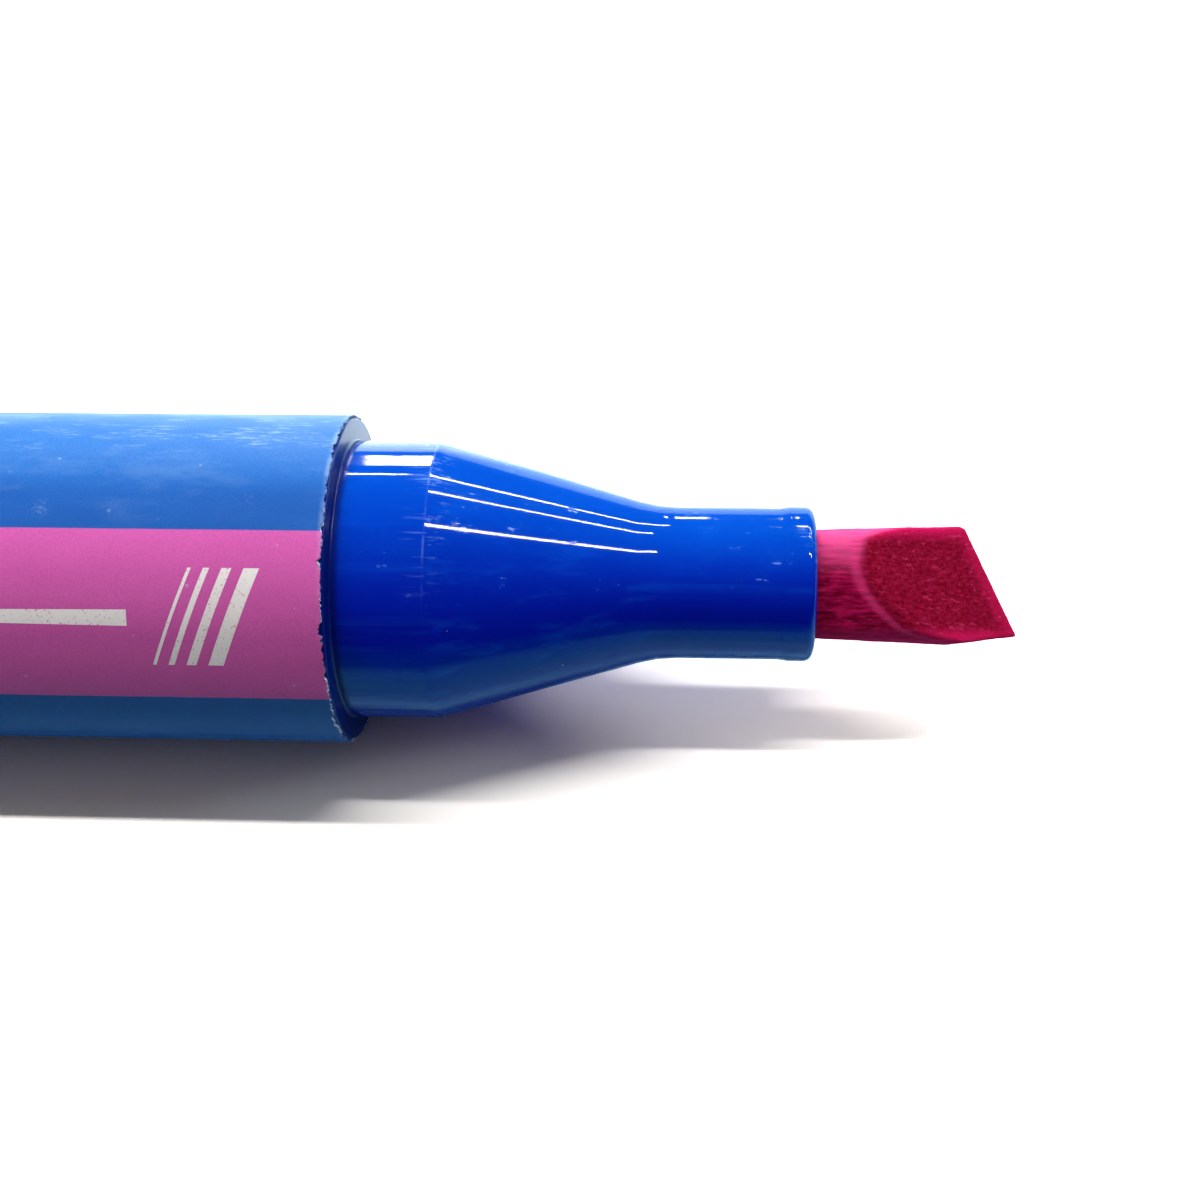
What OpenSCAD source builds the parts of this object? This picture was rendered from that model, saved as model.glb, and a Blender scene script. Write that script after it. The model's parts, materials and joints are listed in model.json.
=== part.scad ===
// Broad chisel-tip felt pen, lying on its side with the nib towards +X.
// Its cap is off the nib and pushed onto the spigot at the tail.
// Millimetres. The origin is on the table, under the middle of the pen's length.

/* [Barrel] */
// Diameter of the finished barrel, over its printed film
barrel_d = 16; // [14.5:0.1:20]
// Length of the barrel tube
barrel_len = 92; // [60:1:120]
// Wall of the barrel tube
barrel_wall = 1.1; // [0.8:0.05:1.4]
// Thickness of the printed film round the tube
film_t = 0.12; // [0.06:0.01:0.2]
// How far the film's cut ends stop short of the flanges' faces
film_margin = 0.05; // [0.02:0.01:0.25]

/* [Nib holder] */
// Thickness of the stop flange that sits on the barrel's end, under the film
flange_t = 0.4; // [0.3:0.05:1.5]
// Step from the tube's outside down to the flange's rim
flange_step = 0.03; // [0.01:0.01:0.1]
// Length of the cylinder that the cap pushes onto
seat_len = 4.25; // [3:0.05:9]
// Length of the cone between seat and neck
cone_len = 10.5; // [8:0.1:16]
// Diameter of the neck that holds the nib
neck_d = 7.35; // [7.1:0.05:8.5]
// Length of the neck
neck_len = 7.5; // [5:0.1:12]
// Radius of the blend where the cone runs into the neck
neck_blend_r = 6.5; // [2:0.5:10]
// Length of the sealing lip at the neck's end
lip_len = 1.6; // [0.8:0.1:2.5]
// How far the sealing lip stands out of the neck
lip_rise = 0.07; // [0.02:0.01:0.2]
// Rounding of the neck's front edge
lip_round = 0.45; // [0.2:0.05:0.6]
// Length of the plugs that sit inside the barrel, at the nose and at the tail
plug_len = 7; // [5:0.5:12]
// Wall of the hollow plugs
plug_wall = 1.25; // [0.9:0.05:1.6]
// How far the snap beads stand out of a plug
bead_rise = 0.2; // [0.1:0.05:0.35]
// Number of fins that centre the nib inside the holder
fin_count = 4; // [3:1:6]
// Thickness of those fins
fin_t = 0.9; // [0.6:0.1:1.4]
// Distance of the fins from both ends of the plug
fin_set_back = 0.8; // [0.3:0.1:1.5]

/* [Nib] */
// Height of the nib, along its writing edge, where it leaves the neck
nib_h = 5.2; // [5:0.05:5.7]
// Thickness of the nib at the middle of its broad faces
nib_t = 4.9; // [4.2:0.05:5.2]
// Diameter across the nib's corners
nib_corner_d = 6.1; // [5.9:0.05:6.3]
// Radius of the swell of the broad faces
nib_face_r = 6.8; // [5:0.1:12]
// How far the middle of the writing edge stands out of the neck
nib_reach = 8.6; // [6:0.1:12]
// Slope of the writing edge, in degrees from square
nib_slant = 26; // [0:1:40]
// Half of the wedge angle between the two writing facets
nib_wedge = 21; // [15:1:30]
// Thickness of the writing edge
nib_edge_t = 0.5; // [0.3:0.05:1]
// Spread of the nib's two narrow sides, in degrees each
nib_flare = 2.2; // [0:0.1:3]
// Distance from the neck to the heel, worn flat under the long corner
heel_start = 6.3; // [4:0.1:8]
// Slope of the worn heel, in degrees from the pen's axis
heel_slope = 7; // [0:1:15]
// Turn of the nib about the pen's axis, in degrees
nib_turn = 30; // [-180:5:180]
// Depth of the nib's root inside the ink reservoir
nib_bite = 4; // [2:0.5:8]

/* [Ink reservoir] */
// Thickness of the film wrapped round the fibre core
sheath_t = 0.12; // [0.06:0.01:0.3]
// Diameter of the breather tube beside the reservoir
breather_d = 0.9; // [0.7:0.05:1.2]
// Wall of the breather tube
breather_wall = 0.2; // [0.12:0.02:0.25]

/* [Tail] */
// Length of the spigot that the cap is pushed onto
spigot_len = 9; // [5:0.5:12]
// End wall of the tail plug
tail_wall = 1.2; // [0.8:0.1:2]
// Bevel round the spigot's end
spigot_bevel = 0.8; // [0.3:0.1:1.2]

/* [Cap] */
// Wall of the cap at its mouth
cap_wall = 1.2; // [0.9:0.05:1.6]
// Thickness of the cap's closed end
crown_t = 1.4; // [1:0.1:3]
// Rounding of the cap's closed end
crown_round = 1.5; // [0.5:0.1:2]
// Draft of the cap's outside, from mouth to closed end
cap_draft = 0.1; // [0:0.05:0.3]
// Room between the nib's tip and the floor of the inner seal
cap_spare = 1.5; // [0.5:0.1:4]
// Wall of the inner seal
seal_wall = 0.8; // [0.6:0.05:1.1]
// Thickness of the inner seal's floor
seal_floor = 1; // [0.8:0.1:2]
// How far up the neck the inner seal reaches
seal_grip = 5.5; // [3:0.1:7]

/* [Fits] */
// Room round the plugs inside the tube
plug_clear = 0.03; // [0.01:0.01:0.05]
// Room between the cap and what it is pushed onto
cap_clear = 0.05; // [0.02:0.01:0.1]
// Room round the nib in its holder
nib_clear = 0.05; // [0.02:0.01:0.1]
// Room round the breather tube
breather_clear = 0.06; // [0.03:0.01:0.1]
// Room at each end of the reservoir
end_clear = 0.1; // [0.05:0.05:0.5]
// Room between the neck's lip and the inner seal
seal_clear = 0.06; // [0.03:0.01:0.1]

/* [Hidden] */
$fn = 96;
// Cutting tools run this far past the faces that they cut
past = 1;

// Radii from the outside in
barrel_r = barrel_d / 2;
tube_r = barrel_r - film_t;
bore_r = tube_r - barrel_wall;
bead_r = bore_r - plug_clear;
plug_r = bead_r - bead_rise;
hollow_r = plug_r - plug_wall;
flange_r = tube_r - flange_step;
seat_r = barrel_r - cap_wall - cap_clear;
neck_r = neck_d / 2;
lip_r = neck_r + lip_rise;
nib_r = nib_corner_d / 2;
nib_bore_r = nib_r + nib_clear;
sheath_r = bore_r - breather_d - 2 * breather_clear;
core_r = sheath_r - sheath_t;

// Stations along the pen's axis, from the barrel's front end
seat_x = flange_t + seat_len;
cone_x = seat_x + cone_len;
neck_x = cone_x + neck_len;
tip_x = neck_x + nib_reach;
edge_slope = tan(nib_slant);
side_spread = tan(nib_flare);
// Half height of the nib where its heel starts, at its long corner and at its short one
heel_half_h = nib_h / 2 + heel_start * side_spread;
heel_x = neck_x + heel_start;
heel_rise = tan(heel_slope);
nose_x = (tip_x + edge_slope * (heel_half_h + heel_x * heel_rise)) / (1 + edge_slope * heel_rise);
long_half_h = heel_half_h - (nose_x - heel_x) * heel_rise;
short_half_h = (nib_h / 2 + nib_reach * side_spread) / (1 + edge_slope * side_spread);
root_x = -plug_len - end_clear - nib_bite;
tail_x = -barrel_len;
mouth_x = tail_x - flange_t;
spigot_x = mouth_x - spigot_len;

// The cap's depths are counted from its mouth, as if it sat on the nose
seal_depth = neck_x - flange_t - seal_grip;
floor_depth = nose_x - flange_t + cap_spare;
inner_depth = floor_depth + seal_floor;
cap_len = inner_depth + crown_t;
cap_bore_r = seat_r + cap_clear;
crown_r = barrel_r - cap_draft;
seal_bore_r = lip_r + seal_clear;
seal_r = seal_bore_r + seal_wall;
crown_x = mouth_x - cap_len;

// Lays the pen on the table, with the middle of its length at the origin
module lay_down() {
    translate([-(nose_x + crown_x) / 2, 0, barrel_r]) children();
}

// Turns a half outline of [radius, station] round the pen's axis
module turned() {
    rotate([0, 90, 0]) rotate_extrude() children();
}

// A plain tube or, with no bore, a plain rod between two stations
module ring(outer, inner, from, to) {
    turned() translate([inner, from]) square([outer - inner, to - from]);
}

// Two snap beads round a plug, near its free end and near its flange
module snap_beads(from, to) {
    bead_half = bead_rise;
    for (x = [from + (to - from) * 0.2, to - (to - from) * 0.2])
        turned() polygon([
            [plug_r - past / 4, x - 2 * bead_half],
            [plug_r, x - 2 * bead_half],
            [bead_r, x - bead_half / 2],
            [bead_r, x + bead_half / 2],
            [plug_r, x + 2 * bead_half],
            [plug_r - past / 4, x + 2 * bead_half]
        ]);
}

// Extruded plastic tube that everything else plugs into
module barrel_tube() {
    color("MidnightBlue") lay_down() ring(tube_r, bore_r, tail_x, 0);
}

// Printed film shrunk round the tube and over the rims of both flanges
module barrel_film() {
    color("RoyalBlue") lay_down()
        ring(barrel_r, tube_r, mouth_x + film_margin, flange_t - film_margin);
}

// Outside and inside of the nib holder, as one turned outline
module holder_outline() {
    cone_lean = atan2(seat_r - neck_r, cone_len);
    blend_run = neck_blend_r * tan(cone_lean / 2);
    blend_centre = [neck_r + neck_blend_r, cone_x + blend_run];
    difference() {
        union() {
            polygon([
                [0, -plug_len],
                [plug_r, -plug_len],
                [plug_r, 0],
                [flange_r, 0],
                [flange_r, flange_t],
                [seat_r, flange_t],
                [seat_r, seat_x],
                [neck_r + blend_run * sin(cone_lean), cone_x - blend_run * cos(cone_lean)],
                blend_centre,
                [neck_r, cone_x + blend_run],
                [neck_r, neck_x - lip_len],
                [lip_r, neck_x - lip_len + lip_rise],
                [lip_r, neck_x - lip_round],
                [lip_r - lip_round, neck_x - lip_round],
                [lip_r - lip_round, neck_x],
                [0, neck_x]
            ]);
            intersection() {
                translate([lip_r - lip_round, neck_x - lip_round]) circle(lip_round);
                translate([0, neck_x - lip_len]) square([lip_r, lip_len]);
            }
        }
        translate(blend_centre) circle(neck_blend_r);
        polygon([
            [-past, -plug_len - past],
            [hollow_r, -plug_len - past],
            [hollow_r, flange_t],
            [nib_bore_r, cone_x - plug_wall],
            [nib_bore_r, neck_x + past],
            [-past, neck_x + past]
        ]);
    }
}

// Moulded nose: plug, stop flange, cap seat, cone and neck, with fins inside that centre the nib
module nib_holder() {
    fin_from = fin_set_back - plug_len;
    color("Blue") lay_down() {
        turned() holder_outline();
        snap_beads(-plug_len, 0);
        intersection() {
            ring(hollow_r + plug_wall / 2, nib_bore_r, fin_from, -fin_set_back);
            for (turn = [0:fin_count - 1])
                rotate([turn * 360 / fin_count, 0, 0])
                    translate([-plug_len, -fin_t / 2, 0]) cube([plug_len, fin_t, plug_r]);
        }
    }
}

// Takes away everything in front of a plane through the point at, facing along the vector facing
module cut_off(at, facing) {
    size = 4 * nib_corner_d + 2 * nib_reach;
    tilt = acos(facing.z / norm(facing));
    swing = atan2(facing.y, facing.x);
    translate(at) rotate([0, tilt, swing]) translate([-size / 2, -size / 2, 0]) cube(size);
}

// Side outline of the nib: parallel in the holder, spreading outside it, with a heel and a slanted end
module nib_outline() {
    polygon([
        [root_x - past, -nib_h / 2],
        [neck_x, -nib_h / 2],
        [heel_x, -heel_half_h],
        [nose_x, -long_half_h],
        [tip_x - edge_slope * short_half_h, short_half_h],
        [neck_x, nib_h / 2],
        [root_x - past, nib_h / 2]
    ]);
}

// Pressed fibre nib: a round rod flattened on four sides, ground to a slanted chisel
module nib() {
    root_bevel = nib_bite / 3;
    face_offset = nib_face_r - nib_t / 2;
    color("DeepPink") lay_down() rotate([nib_turn, 0, 0]) difference() {
        intersection() {
            turned() polygon([
                [0, root_x],
                [nib_r - root_bevel, root_x],
                [nib_r, root_x + root_bevel],
                [nib_r, nose_x + past],
                [0, nose_x + past]
            ]);
            broad_faces(face_offset);
            translate([0, 0, -nib_t]) linear_extrude(2 * nib_t) nib_outline();
        }
        for (side = [-1, 1])
            cut_off([tip_x, 0, side * nib_edge_t / 2], [1, edge_slope, side / tan(nib_wedge)]);
    }
}

// What lies inside both swelling broad faces of the nib
module broad_faces(offset) {
    intersection() {
        translate([0, 0, -offset]) ring(nib_face_r, 0, root_x - past, nose_x + 2 * past);
        translate([0, 0, offset]) ring(nib_face_r, 0, root_x - past, nose_x + 2 * past);
    }
}

// Bundle of ink-soaked fibres, with a socket for the nib's root
module reservoir_core() {
    front = -plug_len - end_clear;
    color("HotPink") lay_down() difference() {
        ring(core_r, 0, tail_x + plug_len + end_clear, front);
        ring(nib_bore_r, 0, root_x - end_clear, front + past);
    }
}

// Thin film that keeps the fibre bundle together
module reservoir_sheath() {
    color("WhiteSmoke") lay_down()
        ring(sheath_r, core_r, tail_x + plug_len + end_clear, -plug_len - end_clear);
}

// Fine tube beside the reservoir that lets air past it
module breather_tube() {
    outer = breather_d / 2;
    color("White") lay_down() translate([0, 0, sheath_r + breather_clear + outer])
        ring(outer, outer - breather_wall, tail_x + plug_len + end_clear, -plug_len - end_clear);
}

// Moulded plug that closes the barrel's tail, with the spigot that carries the cap
module tail_plug() {
    color("Blue") lay_down() {
        turned() difference() {
            polygon([
                [0, spigot_x],
                [seat_r - spigot_bevel, spigot_x],
                [seat_r, spigot_x + spigot_bevel],
                [seat_r, mouth_x],
                [flange_r, mouth_x],
                [flange_r, tail_x],
                [plug_r, tail_x],
                [plug_r, tail_x + plug_len],
                [0, tail_x + plug_len]
            ]);
            translate([-past, spigot_x + tail_wall])
                square([hollow_r + past, tail_x + plug_len - spigot_x - tail_wall + past]);
        }
        snap_beads(tail_x, tail_x + plug_len);
    }
}

// Moulded cap, pushed onto the tail spigot until its mouth meets the flange
module cap_shell() {
    color("Blue") lay_down() turned() difference() {
        union() {
            polygon([
                [0, crown_x],
                [crown_r - crown_round, crown_x],
                [crown_r - crown_round, crown_x + crown_round],
                [crown_r, crown_x + crown_round],
                [barrel_r, mouth_x],
                [0, mouth_x]
            ]);
            intersection() {
                translate([crown_r - crown_round, crown_x + crown_round]) circle(crown_round);
                translate([0, crown_x]) square([crown_r, crown_round]);
            }
        }
        translate([-past, mouth_x - inner_depth]) square([cap_bore_r + past, inner_depth + past]);
    }
}

// Soft inner cap that closes round the neck when the cap is on the nib
module cap_seal() {
    rim_r = cap_bore_r - plug_clear;
    color("AliceBlue") lay_down() turned() difference() {
        polygon([
            [0, mouth_x - inner_depth],
            [rim_r, mouth_x - inner_depth],
            [rim_r, mouth_x - floor_depth],
            [seal_r, mouth_x - floor_depth],
            [seal_r, mouth_x - seal_depth],
            [0, mouth_x - seal_depth]
        ]);
        translate([-past, mouth_x - floor_depth])
            square([seal_bore_r + past, floor_depth - seal_depth + past]);
    }
}

barrel_tube();
barrel_film();
nib_holder();
nib();
reservoir_core();
reservoir_sheath();
breather_tube();
tail_plug();
cap_shell();
cap_seal();
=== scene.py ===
import json
from math import acos, ceil, cos, pi, radians, sin, tan

import bpy
from mathutils import Matrix, Vector


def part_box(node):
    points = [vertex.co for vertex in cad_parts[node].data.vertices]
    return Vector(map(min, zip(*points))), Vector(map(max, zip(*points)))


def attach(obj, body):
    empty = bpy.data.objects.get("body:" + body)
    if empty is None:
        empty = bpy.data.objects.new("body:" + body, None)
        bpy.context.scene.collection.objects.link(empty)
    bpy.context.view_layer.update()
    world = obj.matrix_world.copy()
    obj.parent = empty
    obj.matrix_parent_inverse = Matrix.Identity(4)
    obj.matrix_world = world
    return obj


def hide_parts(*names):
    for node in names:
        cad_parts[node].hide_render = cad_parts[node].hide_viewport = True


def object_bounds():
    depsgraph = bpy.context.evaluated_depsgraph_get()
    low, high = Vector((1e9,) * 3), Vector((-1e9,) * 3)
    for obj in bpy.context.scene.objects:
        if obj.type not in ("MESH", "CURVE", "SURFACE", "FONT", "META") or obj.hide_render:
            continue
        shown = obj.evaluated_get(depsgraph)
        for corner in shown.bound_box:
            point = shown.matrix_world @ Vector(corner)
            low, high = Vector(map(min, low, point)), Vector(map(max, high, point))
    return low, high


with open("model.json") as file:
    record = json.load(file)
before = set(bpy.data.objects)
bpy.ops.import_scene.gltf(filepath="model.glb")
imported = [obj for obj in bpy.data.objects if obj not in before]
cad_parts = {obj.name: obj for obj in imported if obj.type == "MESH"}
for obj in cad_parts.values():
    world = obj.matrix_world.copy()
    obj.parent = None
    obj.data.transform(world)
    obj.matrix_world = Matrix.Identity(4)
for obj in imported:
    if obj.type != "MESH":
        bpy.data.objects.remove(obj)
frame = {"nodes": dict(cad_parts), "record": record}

cad_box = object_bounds()
mm = 0.001

# Barrel tube
# A straight length of extruded dark blue plastic that every other piece plugs into.
# The film hides it, but for what the chips at the film's ends lay bare.
tube_low, tube_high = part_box("barrel_tube")
front = tube_high.x
tail = tube_low.x
axis_z = cad_box[1][2] / 2
tube_r = (tube_high.z - tube_low.z) / 2
tube_wall = 1.1 * mm
tube_bore_r = tube_r - tube_wall
tube_edge = 0.12 * mm
tube_dark = (0.0005, 0.004, 0.04, 1)
tube_pale = (0.001, 0.008, 0.07, 1)
smooth_turn = 192
arc_step = radians(9)
weld_gap = 1e-7


def rounded(outline):
    """Points of a closed outline of (station, radius, rounding), with an arc at each rounded corner."""
    points = []
    for i, (x, r, rounding) in enumerate(outline):
        corner = Vector((x, r))
        if not rounding:
            points.append(corner)
            continue
        back = (Vector(outline[i - 1][:2]) - corner).normalized()
        ahead = (Vector(outline[(i + 1) % len(outline)][:2]) - corner).normalized()
        half = acos(max(-1, min(1, back.dot(ahead)))) / 2
        centre = corner + (back + ahead).normalized() * rounding / sin(half)
        start = corner + back * rounding / tan(half) - centre
        sweep = pi - 2 * half
        if back.x * ahead.y - back.y * ahead.x > 0:
            sweep = -sweep
        pieces = max(2, ceil(abs(sweep) / arc_step))
        for k in range(pieces + 1):
            points.append(centre + Matrix.Rotation(sweep * k / pieces, 2) @ start)
    return points


def start_piece(name, at):
    """A new object with one vertex at the place given, left in edit mode."""
    bpy.ops.object.select_all(action="DESELECT")
    bpy.ops.mesh.primitive_plane_add(size=mm, location=at)
    piece = bpy.context.object
    piece.name = piece.data.name = name
    bpy.ops.object.transform_apply(location=True, rotation=True, scale=True)
    bpy.ops.object.mode_set(mode="EDIT")
    bpy.ops.mesh.merge(type="CENTER")
    return piece


def even_shading(piece, angle=35):
    """Smooth faces up to the angle in degrees, with flat faces kept flat beside small roundings."""
    bpy.ops.object.shade_smooth_by_angle(angle=radians(angle))
    piece.modifiers.new("even shading", "WEIGHTED_NORMAL").keep_sharp = True
    bpy.ops.object.modifier_apply(modifier="even shading")


def turned(name, outline, steps=smooth_turn):
    """A closed half outline drawn from one vertex and spun once round the pen's axis."""
    path = rounded(outline)
    piece = start_piece(name, (path[0].x, 0, axis_z + path[0].y))
    for here, there in zip(path, path[1:] + path[:1]):
        step = there - here
        if step.length > weld_gap:
            bpy.ops.mesh.extrude_region_move(TRANSFORM_OT_translate={"value": (step.x, 0, step.y)})
    bpy.ops.mesh.select_all(action="SELECT")
    bpy.ops.mesh.remove_doubles(threshold=weld_gap)
    bpy.ops.mesh.select_all(action="SELECT")
    bpy.ops.mesh.spin(steps=steps, angle=2 * pi, center=(0, 0, axis_z), axis=(1, 0, 0))
    bpy.ops.mesh.select_all(action="SELECT")
    bpy.ops.mesh.remove_doubles(threshold=weld_gap)
    bpy.ops.mesh.normals_make_consistent(inside=False)
    bpy.ops.object.mode_set(mode="OBJECT")
    return piece


def new_material(name, **sockets):
    """A node material whose main shader has the given values on its own sockets."""
    material = bpy.data.materials.new(name)
    material.use_nodes = True
    shader = material.node_tree.nodes["Principled BSDF"]
    for socket, value in sockets.items():
        shader.inputs[socket.replace("_", " ")].default_value = value
    return material, shader


def node(material, kind, inputs=(), **settings):
    """A node with its settings, and with values or other nodes' outputs on its inputs."""
    made = material.node_tree.nodes.new(kind)
    for name, value in settings.items():
        setattr(made, name, value)
    for name, value in dict(inputs).items():
        if isinstance(value, bpy.types.NodeSocket):
            material.node_tree.links.new(value, made.inputs[name])
        else:
            made.inputs[name].default_value = value
    return made


def math(material, operation, *values):
    """The output of one math node."""
    return node(material, "ShaderNodeMath", dict(enumerate(values)), operation=operation).outputs[0]


def ramp(material, value, low, high, to_low=0.0, to_high=1.0):
    """A value carried smoothly from one range to another, and held at the ends."""
    made = node(
        material, "ShaderNodeMapRange",
        {"Value": value, "From Min": low, "From Max": high, "To Min": to_low, "To Max": to_high},
        interpolation_type="SMOOTHSTEP",
    )
    return made.outputs["Result"]


def grain(material, vector, stretch, scale, detail=3.0, rough=0.55):
    """Noise on coordinates stretched by three factors, as a value round one half."""
    stretched = node(material, "ShaderNodeMapping", {"Vector": vector, "Scale": stretch})
    made = node(
        material, "ShaderNodeTexNoise",
        {"Vector": stretched.outputs[0], "Scale": scale, "Detail": detail, "Roughness": rough},
    )
    return made.outputs["Fac"]


def blend(material, factor, under, over):
    """Two colours, values or outputs mixed by a factor."""
    mixed = node(material, "ShaderNodeMix", data_type="RGBA")
    for name, value in (("Factor_Float", factor), ("A_Color", under), ("B_Color", over)):
        socket = next(s for s in mixed.inputs if s.identifier == name)
        if isinstance(value, bpy.types.NodeSocket):
            material.node_tree.links.new(value, socket)
        else:
            socket.default_value = value
    return next(s for s in mixed.outputs if s.identifier == "Result_Color")


def bump(material, shader, height, depth, strength=1.0, under=None):
    """Relief on a shader's normal, its depth in metres, over other relief if there is any."""
    inputs = {"Height": height, "Distance": depth, "Strength": strength}
    if under is not None:
        inputs["Normal"] = under
    made = node(material, "ShaderNodeBump", inputs)
    material.node_tree.links.new(made.outputs[0], shader.inputs["Normal"])
    return made.outputs[0]


def connect(material, output, shader, socket):
    """A node's output put on a socket of a shader."""
    material.node_tree.links.new(output, shader.inputs[socket])


def place(material):
    """A material's place on its object, in metres."""
    return node(material, "ShaderNodeTexCoord").outputs["Object"]


tube = turned("barrel_body", [
    (tail, tube_bore_r, 0),
    (tail, tube_r, tube_edge),
    (front, tube_r, tube_edge),
    (front, tube_bore_r, 0),
])
even_shading(tube)

tube_plastic, tube_shader = new_material("dark extruded plastic", IOR=1.5)
tube_place = place(tube_plastic)
tube_streaks = grain(tube_plastic, tube_place, (0.1, 1, 1), 2500)
connect(
    tube_plastic, blend(tube_plastic, tube_streaks, tube_dark, tube_pale), tube_shader, "Base Color"
)
connect(tube_plastic, ramp(tube_plastic, tube_streaks, 0.2, 0.8, 0.14, 0.3), tube_shader, "Roughness")
bump(tube_plastic, tube_shader, tube_streaks, 0.01 * mm)
tube.data.materials.append(tube_plastic)
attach(tube, "pen")
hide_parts("barrel_tube")

# Barrel film
# Thin matte film, printed blue with a pink band along it and shrunk tight round the tube.
# Its cut ends are chipped ragged by the cap, its crown is rubbed pale by the hand and painted lighter
# where light falls.
film_low, film_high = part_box("barrel_film")
film_r = (film_high.z - film_low.z) / 2
film_edge = 0.05 * mm
film_turn = 720
chip_reach = 0.7 * mm
view_turn = radians(60)
band_turn = view_turn - radians(15)
band_half = film_r * radians(29.6)

row_steps = (0.06, 0.13, 0.22, 0.34, 0.5, 0.7, 1.2)
tail_rows = [film_low.x + step * mm for step in row_steps]
front_rows = [film_high.x - step * mm for step in reversed(row_steps)]
film_rows = tail_rows + front_rows
film = turned(
    "film_sleeve",
    [(film_low.x, tube_r, 0), (film_low.x, film_r, film_edge)]
    + [(x, film_r, 0) for x in film_rows]
    + [(film_high.x, film_r, film_edge), (film_high.x, tube_r, 0)]
    + [(x, tube_r, 0) for x in reversed(film_rows)],
    film_turn,
)
# Both ends are bitten back by three sizes of noise, most on the side that the hand rubs
rubbed_side = Vector((0, -cos(view_turn), sin(view_turn)))
for cut_name, cut_x, inwards in (("front cut", film_high.x, -1), ("tail cut", film_low.x, 1)):
    cut = film.vertex_groups.new(name=cut_name)
    for vertex in film.data.vertices:
        nearness = 1 - abs(vertex.co.x - cut_x) / chip_reach
        rubbed = rubbed_side.dot(vertex.co - Vector((0, 0, axis_z))) / film_r
        if nearness > 0:
            cut.add([vertex.index], nearness * (0.6 + 0.4 * rubbed), "REPLACE")
    for chip_name, size, bare, bitten, depth in (
        ("bites", 1.3 * mm, 0.6, 0.68, 0.13 * mm),
        ("nicks", 0.34 * mm, 0.48, 0.66, 0.09 * mm),
        ("fray", 0.13 * mm, 0.36, 0.7, 0.07 * mm),
    ):
        pattern = bpy.data.textures.new(chip_name, "CLOUDS")
        pattern.noise_scale = size
        pattern.use_color_ramp = True
        for element, position, shade in zip(pattern.color_ramp.elements, (bare, bitten), (0, 1)):
            element.position = position
            element.color = (shade, shade, shade, 1)
        chipped = film.modifiers.new(chip_name, "DISPLACE")
        chipped.texture = pattern
        chipped.vertex_group = cut_name
        chipped.direction = "X"
        chipped.mid_level = 0
        chipped.strength = inwards * depth
        bpy.ops.object.modifier_apply(modifier=chip_name)
even_shading(film, 50)

film_print, film_shader = new_material("printed film", IOR=1.18)
film_place = place(film_print)
film_axes = node(film_print, "ShaderNodeSeparateXYZ", {0: film_place})
film_along = film_axes.outputs["X"]
film_angle = math(
    film_print, "ARCTAN2",
    math(film_print, "SUBTRACT", film_axes.outputs["Z"], axis_z),
    math(film_print, "MULTIPLY", film_axes.outputs["Y"], -1),
)
# Distance round the barrel from the middle of the pink band, along the surface
film_around = math(
    film_print, "MULTIPLY", math(film_print, "SUBTRACT", film_angle, band_turn), film_r
)
ink_grain = grain(film_print, film_place, (1, 1, 1), 9000, 2)
ink_cloud = grain(film_print, film_place, (0.4, 1, 1), 700, 4)
edge_wander = math(
    film_print, "MULTIPLY", math(film_print, "SUBTRACT", ink_cloud, 0.5), 0.06 * mm
)
band_share = ramp(
    film_print,
    math(film_print, "ADD", math(film_print, "ABSOLUTE", film_around), edge_wander),
    band_half + 0.03 * mm, band_half - 0.03 * mm,
)
# The blue is painted lighter along the barrel's crown, as painted light where the lamps fall, and both
# inks have a fine grain
crown_turn = radians(121)
blue_deep = (0.012, 0.07, 0.29, 1)
blue_full = (0.017, 0.1, 0.37, 1)
blue_painted_lit = (0.024, 0.142, 0.44, 1)
blue_grain = (0.008, 0.055, 0.25, 1)
pink_deep = (0.49, 0.08, 0.31, 1)
pink_full = (0.55, 0.1, 0.355, 1)
pink_grain = (0.3, 0.06, 0.23, 1)
towards_crown = math(film_print, "COSINE", math(film_print, "SUBTRACT", film_angle, crown_turn))
blue_ink = blend(film_print, ink_cloud, blue_deep, blue_full)
blue_ink = blend(film_print, ramp(film_print, towards_crown, 0.8, 1), blue_ink, blue_painted_lit)
blue_ink = blend(film_print, ramp(film_print, ink_grain, 0.35, 0.7, 0.0, 0.25), blue_ink, blue_grain)
pink_ink = blend(film_print, ink_cloud, pink_deep, pink_full)
pink_ink = blend(film_print, ramp(film_print, ink_grain, 0.35, 0.7, 0.0, 0.3), pink_ink, pink_grain)
film_colour = blend(film_print, band_share, blue_ink, pink_ink)

# Sample strokes printed on the band: slanted bars that grow in width, after one long tapered line
print_white = (0.68, 0.65, 0.63, 1)
print_middle = 0.1 * mm
bar_half_h = 2.3 * mm
bar_lean = tan(radians(22))
bar_first = front - 6.6 * mm
bar_gap = 0.55 * mm
bar_widths = [0.16 * mm, 0.28 * mm, 0.45 * mm, 0.7 * mm]
from_middle = math(film_print, "SUBTRACT", film_around, print_middle)
leaning = math(
    film_print, "SUBTRACT", film_along, math(film_print, "MULTIPLY", from_middle, bar_lean)
)
off_middle = math(film_print, "ABSOLUTE", from_middle)
bar_share = 0
bar_at = bar_first
for width in bar_widths:
    bar = math(film_print, "COMPARE", leaning, bar_at + width / 2, width / 2)
    bar_share = math(film_print, "ADD", bar_share, bar)
    bar_at += width + bar_gap
bar_share = math(
    film_print, "MULTIPLY", bar_share, math(film_print, "LESS_THAN", off_middle, bar_half_h)
)
line_gap = 1.9 * mm
line_end = bar_first - line_gap
line_len = 34 * mm
line_thin = 0.05 * mm
line_thick = 0.38 * mm
line_half = node(
    film_print, "ShaderNodeMapRange",
    {"Value": film_along, "From Min": line_end - line_len, "From Max": line_end,
     "To Min": line_thin, "To Max": line_thick},
).outputs["Result"]
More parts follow.
